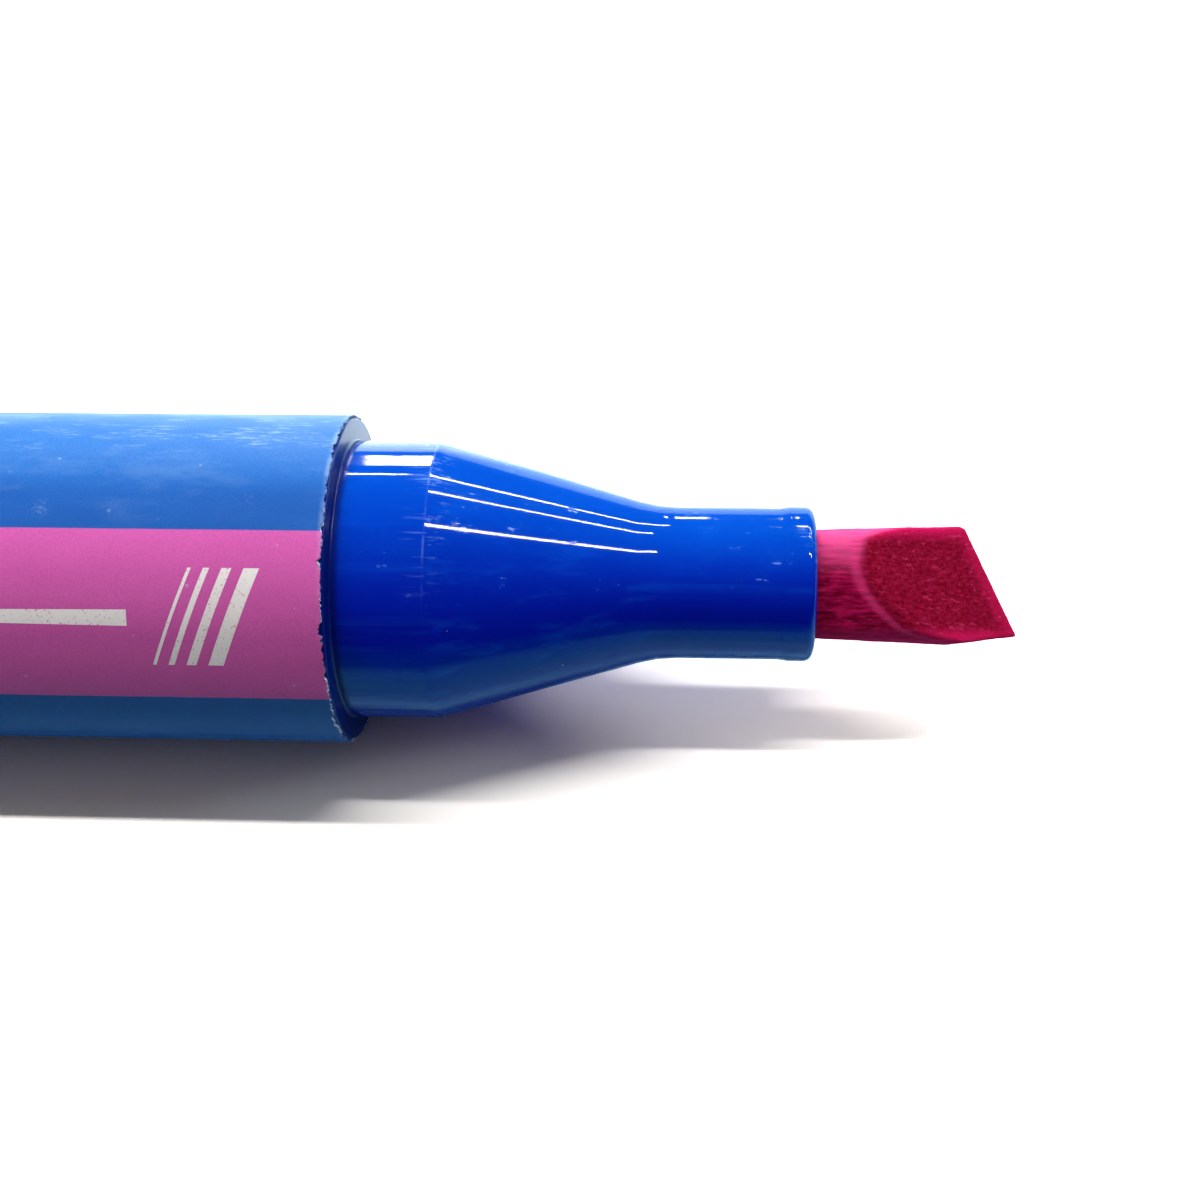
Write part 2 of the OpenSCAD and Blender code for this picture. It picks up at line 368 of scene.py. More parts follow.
line_share = math(
    film_print, "MULTIPLY",
    math(film_print, "LESS_THAN", off_middle, line_half),
    math(film_print, "COMPARE", film_along, line_end - line_len / 2, line_len / 2),
)
printed = math(film_print, "MAXIMUM", bar_share, line_share)
worn_print = math(film_print, "MULTIPLY", printed, ramp(film_print, ink_grain, 0.28, 0.4))
film_colour = blend(film_print, worn_print, film_colour, print_white)

# Fine scratches and a faint haze along the crown, soft rubbed spots beside the band, and pale specks
pale_wear_and_highlight = (0.34, 0.5, 0.68, 1)
scratches = grain(film_print, film_place, (0.14, 1, 1), 7000, 5, 0.75)
rub_cloud = grain(film_print, film_place, (0.35, 1, 1), 420, 5, 0.7)
crown = ramp(film_print, towards_crown, 0.95, 0.997)
rub_patch = math(film_print, "MULTIPLY", crown, ramp(film_print, rub_cloud, 0.47, 0.62))
rub = math(film_print, "MULTIPLY", rub_patch, ramp(film_print, scratches, 0.5, 0.64))
film_colour = blend(film_print, math(film_print, "MULTIPLY", rub, 0.7), film_colour, pale_wear_and_highlight)
film_haze = math(
    film_print, "MULTIPLY", ramp(film_print, rub_cloud, 0.46, 0.68, 0.0, 0.08),
    ramp(film_print, towards_crown, 0.6, 0.95),
)
film_colour = blend(film_print, film_haze, film_colour, pale_wear_and_highlight)
spot_cells = node(film_print, "ShaderNodeTexVoronoi", {"Vector": film_place, "Scale": 420})
spot_edge = math(film_print, "MULTIPLY", math(film_print, "SUBTRACT", ink_grain, 0.5), 0.35)
spot_size = math(film_print, "ADD", spot_cells.outputs["Distance"], spot_edge)
beside_band = math(
    film_print, "MULTIPLY",
    ramp(film_print, film_around, band_half + 0.3 * mm, band_half + 0.8 * mm),
    ramp(film_print, film_around, band_half + 3.2 * mm, band_half + 2.2 * mm),
)
spot = math(film_print, "MULTIPLY", ramp(film_print, spot_size, 0.3, 0.08), beside_band)
spot_strength = ramp(film_print, spot_cells.outputs["Color"], 0.4, 0.75, 0.0, 0.45)
film_colour = blend(
    film_print, math(film_print, "MULTIPLY", spot, spot_strength), film_colour, pale_wear_and_highlight
)
speck_cells = node(film_print, "ShaderNodeTexVoronoi", {"Vector": film_place, "Scale": 900})
speck = math(
    film_print, "MULTIPLY", ramp(film_print, speck_cells.outputs["Distance"], 0.1, 0.05),
    ramp(film_print, rub_cloud, 0.5, 0.6),
)
film_colour = blend(film_print, math(film_print, "MULTIPLY", speck, 0.5), film_colour, pale_wear_and_highlight)
# The film is painted paler towards its cut edge in patches, most on the lit crown side: rub wear and a
# painted highlight on the edge. The cut shows its pale core, soiled in places
worn_and_lit_patch = math(
    film_print, "MULTIPLY", ramp(film_print, ink_cloud, 0.35, 0.6),
    ramp(film_print, towards_crown, 0.5, 1, 0.25, 1),
)
near_cut = ramp(film_print, film_along, film_high.x - 0.32 * mm, film_high.x - 0.08 * mm)
cut_edge_wear_and_highlight = math(film_print, "MULTIPLY", near_cut, worn_and_lit_patch)
film_colour = blend(film_print, math(film_print, "MULTIPLY", cut_edge_wear_and_highlight, 0.35), film_colour, pale_wear_and_highlight)
film_out = math(
    film_print, "SQRT",
    math(film_print, "ADD", math(film_print, "POWER", film_axes.outputs["Y"], 2),
         math(film_print, "POWER", math(film_print, "SUBTRACT", film_axes.outputs["Z"], axis_z), 2)),
)
core_share = ramp(film_print, film_out, film_r - 0.015 * mm, film_r - 0.05 * mm)
core_soiled = (0.02, 0.07, 0.2, 1)
core_bare = (0.5, 0.6, 0.75, 1)
core_colour = blend(film_print, ramp(film_print, rub_cloud, 0.47, 0.56), core_soiled, core_bare)
film_colour = blend(film_print, core_share, film_colour, core_colour)
connect(film_print, film_colour, film_shader, "Base Color")
connect(
    film_print,
    math(film_print, "ADD", ramp(film_print, ink_cloud, 0.3, 0.7, 0.36, 0.46),
         math(film_print, "MULTIPLY", rub, 0.12)),
    film_shader, "Roughness",
)
fine_relief = bump(film_print, film_shader, ink_grain, 0.004 * mm)
bump(film_print, film_shader, scratches, 0.006 * mm, 0.5, fine_relief)
film.data.materials.append(film_print)
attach(film, "pen")
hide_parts("barrel_film")

# Nib holder
# One high-gloss blue moulding: a hollow plug inside the tube, a thin stop flange on its end,
# the cylinder that the cap pushes onto, a cone, and the neck with its sealing lip.
holder_low, holder_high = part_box("nib_holder")
flange_r = (holder_high.z - holder_low.z) / 2
plug_end = holder_low.x
plug_gap = 0.23 * mm
plug_wall = 1.25 * mm
plug_r = tube_bore_r - plug_gap
hollow_r = plug_r - plug_wall
seat_mount = next(m for m in frame["record"]["mounts"] if m["name"] == "cap_seat")
seat_r = seat_mount["dims"]["r_mm"] * mm
seat_half = seat_mount["dims"]["length_mm"] * mm / 2
flange_face = seat_mount["pos_m"][0] - seat_half
seat_end = seat_mount["pos_m"][0] + seat_half
neck_end = holder_high.x
neck_len = 7.5 * mm
neck_start = neck_end - neck_len
neck_r = 3.675 * mm
neck_blend_r = 6.5 * mm
lip_len = 1.6 * mm
lip_ramp = 0.4 * mm
lip_start = neck_end - lip_len
lip_r = neck_r + 0.07 * mm
nib_bore_r = 3.1 * mm
nib_bore_start = neck_start - 1.25 * mm

nose = turned("nose", [
    (plug_end, hollow_r, 0.1 * mm),
    (plug_end, plug_r, 0.2 * mm),
    (front, plug_r, 0),
    (front, flange_r, 0.06 * mm),
    (flange_face, flange_r, 0.09 * mm),
    (flange_face, seat_r, 0.12 * mm),
    (seat_end, seat_r, 0.3 * mm),
    (neck_start, neck_r, neck_blend_r),
    (lip_start, neck_r, 0.5 * mm),
    (lip_start + lip_ramp, lip_r, 0.5 * mm),
    (neck_end, lip_r, 0.45 * mm),
    (neck_end, nib_bore_r, 0.12 * mm),
    (nib_bore_start, nib_bore_r, 0.5 * mm),
    (flange_face, hollow_r, 0.5 * mm),
])
even_shading(nose)

gloss_blue, nose_shader = new_material("gloss blue moulding", IOR=1.28)
nose_place = place(gloss_blue)
nose_axes = node(gloss_blue, "ShaderNodeSeparateXYZ", {0: nose_place})
nose_cloud = grain(gloss_blue, nose_place, (1, 1, 1), 300, 2)
flow_lines = grain(gloss_blue, nose_place, (0.03, 1, 1), 1500, 3)
hairlines = grain(gloss_blue, nose_place, (0.06, 1, 1), 5200, 4, 0.6)
rubs = grain(gloss_blue, nose_place, (0.6, 1, 1), 700, 5, 0.7)
# Painted light: the blue is painted greener and lighter on the side turned towards the lamps, and deeper
# on the shaded side
painted_light_turn = radians(65)
nose_up = math(gloss_blue, "SUBTRACT", nose_axes.outputs["Z"], axis_z)
nose_reach = math(
    gloss_blue, "SQRT",
    math(gloss_blue, "ADD", math(gloss_blue, "POWER", nose_axes.outputs["Y"], 2),
         math(gloss_blue, "POWER", nose_up, 2)),
)
towards_light = math(
    gloss_blue, "ADD", math(gloss_blue, "MULTIPLY", nose_axes.outputs["Y"], cos(painted_light_turn)),
    math(gloss_blue, "MULTIPLY", nose_up, sin(painted_light_turn)),
)
painted_light_side = math(gloss_blue, "MAXIMUM", math(gloss_blue, "DIVIDE", towards_light, nose_reach), 0)
painted_light_share = math(gloss_blue, "POWER", painted_light_side, 3)
painted_lit_blue = blend(gloss_blue, nose_cloud, (0.0003, 0.046, 0.36, 1), (0.0005, 0.054, 0.4, 1))
painted_shade_blue = blend(gloss_blue, nose_cloud, (0.0001, 0.005, 0.3, 1), (0.0001, 0.007, 0.34, 1))
flow_blue = (0.001, 0.05, 0.44, 1)
nose_colour = blend(gloss_blue, painted_light_share, painted_shade_blue, painted_lit_blue)
flow_share = ramp(gloss_blue, flow_lines, 0.5, 0.75, 0.0, 0.42)
nose_colour = blend(gloss_blue, flow_share, nose_colour, flow_blue)
# Pale wear and painted light: a faint haze and fine scuffs in patches, painted only on the lit side, a
# painted highlight along the seat's ridge with scuffs beside it, and specks of dust
lit_haze_blue = (0.002, 0.085, 0.42, 1)
wear_and_highlight_blue = (0.16, 0.3, 0.72, 1)
dust_white = (0.6, 0.72, 0.85, 1)
dirt_and_shade_blue = (0.0002, 0.005, 0.11, 1)
lit_side_scuff = math(
    gloss_blue, "MULTIPLY", ramp(gloss_blue, hairlines, 0.5, 0.64), ramp(gloss_blue, rubs, 0.59, 0.66)
)
lit_side_scuff = math(gloss_blue, "MULTIPLY", lit_side_scuff, ramp(gloss_blue, painted_light_side, 0.35, 0.7))
lit_side_haze = math(gloss_blue, "MULTIPLY", ramp(gloss_blue, rubs, 0.45, 0.66, 0.0, 0.22), painted_light_share)
nose_colour = blend(gloss_blue, lit_side_haze, nose_colour, lit_haze_blue)
nose_colour = blend(gloss_blue, math(gloss_blue, "MULTIPLY", lit_side_scuff, 0.55), nose_colour, wear_and_highlight_blue)
off_ridge = math(
    gloss_blue, "ABSOLUTE", math(gloss_blue, "SUBTRACT", nose_axes.outputs["X"], seat_end)
)
# Painted highlight: a pale line along the seat's ridge on the lit side, where its rounding catches the
# light
ridge_highlight = math(
    gloss_blue, "MULTIPLY", ramp(gloss_blue, off_ridge, 0.09 * mm, 0.02 * mm),
    ramp(gloss_blue, rubs, 0.42, 0.6, 0.05, 0.4),
)
nose_colour = blend(
    gloss_blue, math(gloss_blue, "MULTIPLY", ridge_highlight, painted_light_share), nose_colour, wear_and_highlight_blue
)
# Scuffs near the ridge, painted only on the lit side
ridge_scuff_on_lit_side = math(
    gloss_blue, "MULTIPLY", ramp(gloss_blue, off_ridge, 1.3 * mm, 0.1 * mm, 0.0, 0.45),
    math(gloss_blue, "MULTIPLY", ramp(gloss_blue, hairlines, 0.54, 0.66), painted_light_share),
)
nose_colour = blend(gloss_blue, ridge_scuff_on_lit_side, nose_colour, wear_and_highlight_blue)
dust_cells = node(gloss_blue, "ShaderNodeTexVoronoi", {"Vector": nose_place, "Scale": 520})
dust = math(
    gloss_blue, "MULTIPLY", ramp(gloss_blue, dust_cells.outputs["Distance"], 0.045, 0.025),
    ramp(gloss_blue, rubs, 0.52, 0.56),
)
nose_colour = blend(gloss_blue, math(gloss_blue, "MULTIPLY", dust, 0.8), nose_colour, dust_white)
# Dirt and painted shade darken the flange and the corner between it and the seat
corner_dirt_and_shade = math(
    gloss_blue, "MULTIPLY",
    ramp(gloss_blue, nose_axes.outputs["X"], front - 3 * mm, front - 1 * mm),
    ramp(gloss_blue, nose_axes.outputs["X"], flange_face + 0.55 * mm, flange_face + 0.15 * mm),
)
nose_colour = blend(gloss_blue, math(gloss_blue, "MULTIPLY", corner_dirt_and_shade, 0.85), nose_colour, dirt_and_shade_blue)
connect(gloss_blue, nose_colour, nose_shader, "Base Color")
connect(
    gloss_blue,
    math(
        gloss_blue, "MAXIMUM", math(gloss_blue, "MULTIPLY", corner_dirt_and_shade, 0.3),
        ramp(gloss_blue, math(gloss_blue, "MAXIMUM", lit_side_scuff, dust), 0, 1, 0.045, 0.4),
    ),
    nose_shader, "Roughness",
)
bump(
    gloss_blue, nose_shader,
    math(gloss_blue, "ADD", lit_side_scuff, math(gloss_blue, "MULTIPLY", nose_cloud, 0.6)), 0.003 * mm,
)
nose.data.materials.append(gloss_blue)
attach(nose, "pen")
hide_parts("nib_holder")

# Nib
# Pressed polyester fibre, soaked with crimson ink: a rod flattened on four sides and ground to a
# slanted chisel. Its root is clamped in the neck, and its long corner is worn down by writing.
nib_tilt = radians(30)
nib_r = 3.05 * mm
nib_half_h = 2.6 * mm
nib_half_t = 2.45 * mm
nib_face_r = 6.8 * mm
edge_half_t = 0.25 * mm
edge_slope = tan(radians(26))
wedge_run = 1 / tan(radians(21))
side_spread = tan(radians(2.2))
heel_reach = 6.3 * mm
heel_at = neck_end + heel_reach
heel_half_h = nib_half_h + heel_reach * side_spread
heel_rise = tan(radians(7))
nib_reach = 8.6 * mm
tip_x = neck_end + nib_reach
edge_half_h = nib_half_h + nib_reach * side_spread
edge_top_x = tip_x - edge_half_h * edge_slope
nib_turn = Matrix.Rotation(nib_tilt, 3, "X")
nib_root = 6 * mm
nib_start = neck_end - nib_root
blank_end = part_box("nib")[1].x + mm
nib_axis = Vector((0, 0, axis_z))


def nib_point(x, up, out):
    """A place on the nib, from its station, its height along the writing edge and its depth."""
    return nib_axis + nib_turn @ Vector((x, up, out))


bpy.ops.object.select_all(action="DESELECT")
bpy.ops.mesh.primitive_cylinder_add(
    vertices=96, radius=nib_r, depth=blank_end - nib_start,
    location=((blank_end + nib_start) / 2, 0, axis_z), rotation=(0, pi / 2, 0),
)
felt = bpy.context.object
felt.name = felt.data.name = "felt_nib"
bpy.ops.object.transform_apply(location=True, rotation=True, scale=True)
for side in (-1, 1):
    bpy.ops.object.select_all(action="DESELECT")
    bpy.ops.mesh.primitive_cylinder_add(
        vertices=256, radius=nib_face_r, depth=60 * mm, rotation=(0, pi / 2, 0),
        location=nib_point(tip_x, 0, side * (nib_half_t - nib_face_r)),
    )
    swell = bpy.context.object
    bpy.ops.object.select_all(action="DESELECT")
    felt.select_set(True)
    bpy.context.view_layer.objects.active = felt
    broad_face = felt.modifiers.new("broad face", "BOOLEAN")
    broad_face.operation = "INTERSECT"
    broad_face.object = swell
    bpy.ops.object.modifier_apply(modifier="broad face")
    bpy.data.objects.remove(swell)
# Cut to its sides, its two facets, the writing edge, the worn heel and the small bevel at the top
bpy.ops.object.mode_set(mode="EDIT")
nib_cuts = [
    ((neck_end, nib_half_h, 0), (-side_spread, 1, 0)),
    ((neck_end, -nib_half_h, 0), (-side_spread, -1, 0)),
    ((tip_x, 0, edge_half_t), (1, edge_slope, wedge_run)),
    ((tip_x, 0, -edge_half_t), (1, edge_slope, -wedge_run)),
    ((tip_x, 0, 0), (1, edge_slope, 0)),
    ((heel_at, -heel_half_h, 0), (heel_rise, -1, 0)),
    ((edge_top_x - 0.05 * mm, edge_half_h - 0.1 * mm, 0), (0.5, 0.87, 0)),
]
for at, facing in nib_cuts:
    bpy.ops.mesh.select_all(action="SELECT")
    bpy.ops.mesh.bisect(
        plane_co=nib_point(*at), plane_no=nib_turn @ Vector(facing).normalized(),
        use_fill=True, clear_outer=True, threshold=weld_gap,
    )
bpy.ops.object.mode_set(mode="OBJECT")
felt_grid = felt.modifiers.new("even grid", "REMESH")
felt_grid.mode = "VOXEL"
felt_grid.voxel_size = 0.07 * mm
bpy.ops.object.modifier_apply(modifier="even grid")
# The writing edge stays crisp, and the facets round off softly into the rod behind it
facet_start = tip_x + wedge_run * edge_half_t
rim_width = 0.4 * mm
soft = felt.vertex_groups.new(name="behind the edge")
rod = felt.vertex_groups.new(name="rod")
ground = felt.vertex_groups.new(name="ground facets")
for vertex in felt.data.vertices:
    local = nib_turn.transposed() @ (vertex.co - nib_axis)
    behind_edge = tip_x - local.x - edge_slope * local.y
    past_rim = local.x + edge_slope * local.y + wedge_run * abs(local.z) - facet_start
    ground_share = max(0, min(1, 1 + past_rim / rim_width))
    soft.add([vertex.index], max(0, min(1, behind_edge / mm)), "REPLACE")
    rod.add([vertex.index], 1 - ground_share, "REPLACE")
    ground.add([vertex.index], ground_share, "REPLACE")
for round_name, amount, passes, where in (
    ("softened facets", 0.5, 45, "behind the edge"), ("even skin", 0.5, 4, ""),
):
    softened = felt.modifiers.new(round_name, "SMOOTH")
    softened.factor = amount
    softened.iterations = passes
    softened.vertex_group = where
    bpy.ops.object.modifier_apply(modifier=round_name)
# Fibres show as fine ridges along the rod, and as felted grain on the ground facets
bpy.ops.object.empty_add(location=nib_axis, rotation=(nib_tilt, 0, 0))
fibre_guide = bpy.context.object
fibre_guide.scale = (7, 1, 1)
bpy.context.view_layer.update()
bpy.ops.object.select_all(action="DESELECT")
felt.select_set(True)
bpy.context.view_layer.objects.active = felt
for relief_name, size, depth, where, guide in (
    ("fibre ridges", 0.26 * mm, 0.06 * mm, "rod", fibre_guide),
    ("fine fibres", 0.14 * mm, 0.04 * mm, "rod", fibre_guide),
    ("felted grain", 0.16 * mm, 0.06 * mm, "ground facets", None),
):
    pattern = bpy.data.textures.new(relief_name, "CLOUDS")
    pattern.noise_scale = size
    pattern.noise_depth = 3
    relief = felt.modifiers.new(relief_name, "DISPLACE")
    relief.texture = pattern
    relief.vertex_group = where
    relief.mid_level = 0.6
    relief.strength = depth
    if guide:
        relief.texture_coords = "OBJECT"
        relief.texture_coords_object = guide
    bpy.ops.object.modifier_apply(modifier=relief_name)
bpy.data.objects.remove(fibre_guide)
even_shading(felt, 180)

felt_ink, felt_shader = new_material(
    "ink-soaked fibre", Roughness=0.75, IOR=1.06, Sheen_Weight=0.02, Sheen_Roughness=0.5,
    Sheen_Tint=(1, 0.08, 0.3, 1), Subsurface_Weight=0.4, Subsurface_Radius=(1, 0.1, 0.25),
    Subsurface_Scale=0.2 * mm,
)
felt_centred = node(
    felt_ink, "ShaderNodeMapping", {"Vector": place(felt_ink), "Location": (0, 0, -axis_z)}
).outputs[0]
felt_place = node(
    felt_ink, "ShaderNodeMapping", {"Vector": felt_centred, "Rotation": (-nib_tilt, 0, 0)}
).outputs[0]
felt_axes = node(felt_ink, "ShaderNodeSeparateXYZ", {0: felt_place})
slanted = math(
    felt_ink, "ADD", felt_axes.outputs["X"],
    math(felt_ink, "MULTIPLY", felt_axes.outputs["Y"], edge_slope),
)
facet_line = math(
    felt_ink, "ADD", slanted,
    math(felt_ink, "MULTIPLY", math(felt_ink, "ABSOLUTE", felt_axes.outputs["Z"]), wedge_run),
)
on_facet = ramp(felt_ink, facet_line, facet_start - 0.85 * mm, facet_start - 0.18 * mm)
strands = grain(felt_ink, felt_place, (0.22, 1, 1), 5000, 5, 0.7)
felting = grain(felt_ink, felt_place, (0.5, 1, 1), 7600, 5, 0.8)
flecks = grain(felt_ink, felt_place, (0.25, 1, 1), 5200, 2)
strand_deep = (0.12, 0.0003, 0.016, 1)
strand_full = (0.34, 0.005, 0.062, 1)
felting_deep = (0.115, 0.0004, 0.008, 1)
felting_full = (0.285, 0.006, 0.038, 1)
strand_ink = blend(felt_ink, ramp(felt_ink, strands, 0.38, 0.64), strand_deep, strand_full)
felting_ink = blend(felt_ink, ramp(felt_ink, felting, 0.36, 0.68), felting_deep, felting_full)
felt_colour = blend(felt_ink, on_facet, strand_ink, felting_ink)
# Painted light: the top, the foot and the writing edge are painted paler, where light falls on them
painted_lit_top_ink = (0.66, 0.07, 0.235, 1)
painted_lit_edge_ink = (0.54, 0.008, 0.09, 1)
painted_lit_foot_ink = (0.5, 0.02, 0.13, 1)
painted_rim_highlight_ink = (0.55, 0.035, 0.16, 1)
fleck_ink = (0.48, 0.03, 0.12, 1)
painted_light_rod_top = ramp(felt_ink, felt_axes.outputs["Y"], 0.1 * mm, 2.5 * mm, 0.0, 0.95)
painted_light_facet_top = ramp(felt_ink, felt_axes.outputs["Y"], 1.9 * mm, 2.8 * mm, 0.0, 0.75)
painted_light_facet_foot = ramp(felt_ink, felt_axes.outputs["Y"], -1.8 * mm, -2.6 * mm, 0.0, 0.75)
painted_light_facet_edge = ramp(felt_ink, slanted, tip_x - 0.9 * mm, tip_x - 0.15 * mm, 0.0, 0.45)
painted_light_facet_sides = math(
    felt_ink, "MAXIMUM", math(felt_ink, "MAXIMUM", painted_light_facet_top, painted_light_facet_foot), painted_light_facet_edge
)
felt_colour = blend(felt_ink, math(felt_ink, "MULTIPLY", painted_light_facet_sides, on_facet), felt_colour, painted_lit_edge_ink)
off_facet = math(felt_ink, "SUBTRACT", 1, on_facet)
painted_light_rod_foot = ramp(felt_ink, felt_axes.outputs["Y"], -1.9 * mm, -2.6 * mm, 0.0, 0.6)
felt_colour = blend(felt_ink, math(felt_ink, "MULTIPLY", painted_light_rod_foot, off_facet), felt_colour, painted_lit_foot_ink)
felt_colour = blend(felt_ink, math(felt_ink, "MULTIPLY", painted_light_rod_top, off_facet), felt_colour, painted_lit_top_ink)
# Painted highlight along the facets' rims
painted_rim_highlight_share = math(
    felt_ink, "MULTIPLY", ramp(felt_ink, facet_line, facet_start - 1.25 * mm, facet_start - 0.85 * mm),
    ramp(felt_ink, facet_line, facet_start - 0.45 * mm, facet_start - 0.75 * mm),
)
felt_colour = blend(felt_ink, math(felt_ink, "MULTIPLY", painted_rim_highlight_share, 0.45), felt_colour, painted_rim_highlight_ink)
# Raised fibres show as paler flecks
fleck_share = ramp(felt_ink, flecks, 0.6, 0.7, 0.0, 0.4)
felt_colour = blend(felt_ink, fleck_share, felt_colour, fleck_ink)
connect(felt_ink, felt_colour, felt_shader, "Base Color")
strand_relief = bump(felt_ink, felt_shader, strands, 0.02 * mm)
bump(felt_ink, felt_shader, felting, 0.02 * mm, 0.8, strand_relief)
felt.data.materials.append(felt_ink)
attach(felt, "pen")
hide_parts("nib")

# Ink reservoir
# A bundle of ink-soaked fibres in a thin milky film, with a fine breather tube beside it.
# They lie inside the closed barrel, held between the two plugs.


def linear(red, green, blue):
    """A colour as a shader takes it, from its screen values of 0 to 255."""
    shares = (red / 255, green / 255, blue / 255)
    return tuple(c / 12.92 if c <= 0.04045 else ((c + 0.055) / 1.055) ** 2.4 for c in shares) + (1,)


core_fibre, core_shader = new_material("soaked bundle", Roughness=0.7)
core_strands = grain(core_fibre, place(core_fibre), (0.03, 1, 1), 3000, 4)
connect(
    core_fibre, blend(core_fibre, core_strands, linear(150, 10, 60), linear(226, 60, 130)),
    core_shader, "Base Color",
)
bump(core_fibre, core_shader, core_strands, 0.05 * mm)
milky_film, milky_shader = new_material("milky film", Roughness=0.35)
milky_cloud = grain(milky_film, place(milky_film), (0.3, 1, 1), 900)
connect(
    milky_film, blend(milky_film, milky_cloud, linear(226, 222, 226), linear(244, 240, 242)),
    milky_shader, "Base Color",
)
for inner_node, finish in (
    ("reservoir_core", core_fibre), ("reservoir_sheath", milky_film), ("breather_tube", milky_film),
):
    frame["nodes"][inner_node].data.materials.clear()
    frame["nodes"][inner_node].data.materials.append(finish)

# Tail plug
# The nose's counterpart: a hollow plug with the same flange, closed by the spigot that carries
# the cap while the pen is in use. Moulded in the same gloss blue.
plug_low, plug_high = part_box("tail_plug")
tail_face = tail - (flange_face - front)
spigot_floor = plug_low.x + 1.2 * mm
stopper = turned("tail_stopper", [
    (spigot_floor, 0, 0),
    (plug_low.x, 0, 0),
    (plug_low.x, seat_r, 0.8 * mm),
    (tail_face, seat_r, 0.12 * mm),
    (tail_face, flange_r, 0.09 * mm),
    (tail, flange_r, 0.06 * mm),
    (tail, plug_r, 0),
    (plug_high.x, plug_r, 0.2 * mm),
    (plug_high.x, hollow_r, 0.1 * mm),
    (spigot_floor, hollow_r, 0.4 * mm),
])
even_shading(stopper)
stopper.data.materials.append(gloss_blue)
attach(stopper, "pen")
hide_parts("tail_plug")

# Cap shell
# A thin-walled gloss blue moulding, pushed onto the tail spigot until it meets the flange,
# with a flat closed end. It slides off towards the tail.
cap_low, cap_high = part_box("cap_shell")
cap_r = (cap_high.z - cap_low.z) / 2
cap_gap = 0.05 * mm
cap_draft = 0.1 * mm
cap_bore_r = seat_r + cap_gap
crown_r = cap_r - cap_draft
cap_floor = cap_low.x + 1.4 * mm
cap = turned("cap", [
    (cap_floor, 0, 0),
    (cap_low.x, 0, 0),
    (cap_low.x, crown_r, 1.5 * mm),
    (cap_high.x, cap_r, 0.2 * mm),
    (cap_high.x, cap_bore_r, 0.2 * mm),
    (cap_floor, cap_bore_r, 0.3 * mm),
])
even_shading(cap)
cap.data.materials.append(gloss_blue)
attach(cap, "cap")
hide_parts("cap_shell")

# Cap seal
# A soft milky inner cap pressed into the closed end, whose mouth closes round the neck's lip
# when the cap is on the nib.
seal_low, seal_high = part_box("cap_seal")
seal_rim_r = (seal_high.z - seal_low.z) / 2
seal_gap = 0.06 * mm
seal_wall = 0.8 * mm
seal_bore_r = lip_r + seal_gap
seal_r = seal_bore_r + seal_wall
seal_floor = seal_low.x + 1 * mm
seal = turned("inner_seal", [
    (seal_floor, 0, 0),
    (seal_low.x, 0, 0),
    (seal_low.x, seal_rim_r, 0.15 * mm),
    (seal_floor, seal_rim_r, 0.15 * mm),
    (seal_floor, seal_r, 0.2 * mm),
    (seal_high.x, seal_r, 0.25 * mm),
    (seal_high.x, seal_bore_r, 0.3 * mm),
    (seal_floor, seal_bore_r, 0.3 * mm),
])
even_shading(seal)
soft_plastic, seal_shader = new_material("soft milky plastic", Roughness=0.4, Subsurface_Weight=0.2)
seal_cloud = grain(soft_plastic, place(soft_plastic), (1, 1, 1), 500)
connect(
    soft_plastic, blend(soft_plastic, seal_cloud, linear(214, 220, 232), linear(232, 236, 244)),
    seal_shader, "Base Color",
)
bump(soft_plastic, seal_shader, seal_cloud, 0.01 * mm)
seal.data.materials.append(soft_plastic)
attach(seal, "cap")
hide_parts("cap_seal")

# Floor
# A plain white table top that takes the pen's shadow. The camera sees it bright, and whiter far out.
# It throws less light at the pen from the front, and its image in the gloss is tinted by distance.
bpy.ops.object.select_all(action="DESELECT")
bpy.ops.mesh.primitive_plane_add(size=3, location=(0, 0, 0))
floor = bpy.context.object
floor.name = "table_top"
seen_white = (1.38, 1.33, 1.25, 1)
seen_far_white = (10, 10, 10, 1)
table_white, table_shader = new_material("white table top", Roughness=0.8)
table_shader.inputs["Specular IOR Level"].default_value = 0
table_place = place(table_white)
table_axes = node(table_white, "ShaderNodeSeparateXYZ", {0: table_place})
table_depth = table_axes.outputs["Y"]
thrown_front = (0.38, 0.44, 0.5, 1)
thrown_behind = (0.95, 0.95, 0.95, 1)
thrown_back = blend(
    table_white, ramp(table_white, table_depth, -14 * mm, 10 * mm), thrown_front, thrown_behind
)
table_rays = node(table_white, "ShaderNodeLightPath")
mirrored = (0.01, 0.22, 0.2, 1)
mirrored_seat = (1.35, 1.8, 1.9, 1)
mirrored_far = (0.03, 0.15, 0.25, 1)
for nearer, farther, colour in (
    (-45 * mm, -24 * mm, (0.13, 0.75, 0.75, 1)),
    (-18 * mm, -8 * mm, (0.36, 0.95, 1.15, 1)),
    (-6 * mm, 10 * mm, (0.95, 0.95, 0.95, 1)),
    (13 * mm, 19 * mm, (0.6, 1, 1.12, 1)),
):
    mirrored = blend(table_white, ramp(table_white, table_depth, nearer, farther), mirrored, colour)
behind_seat = math(
    table_white, "MULTIPLY", ramp(table_white, table_depth, 12 * mm, 18 * mm),
    ramp(table_white, table_axes.outputs["X"], seat_end + 6 * mm, seat_end),
)
mirrored = blend(table_white, behind_seat, mirrored, mirrored_seat)
mirrored = blend(table_white, ramp(table_white, table_depth, 76 * mm, 88 * mm), mirrored, mirrored_far)
thrown_back = blend(table_white, table_rays.outputs["Is Glossy Ray"], thrown_back, mirrored)
table_far = node(table_white, "ShaderNodeVectorMath", {0: table_place}, operation="LENGTH")
far_share = ramp(table_white, table_far.outputs["Value"], 0.25, 0.9)
seen = blend(table_white, far_share, seen_white, seen_far_white)
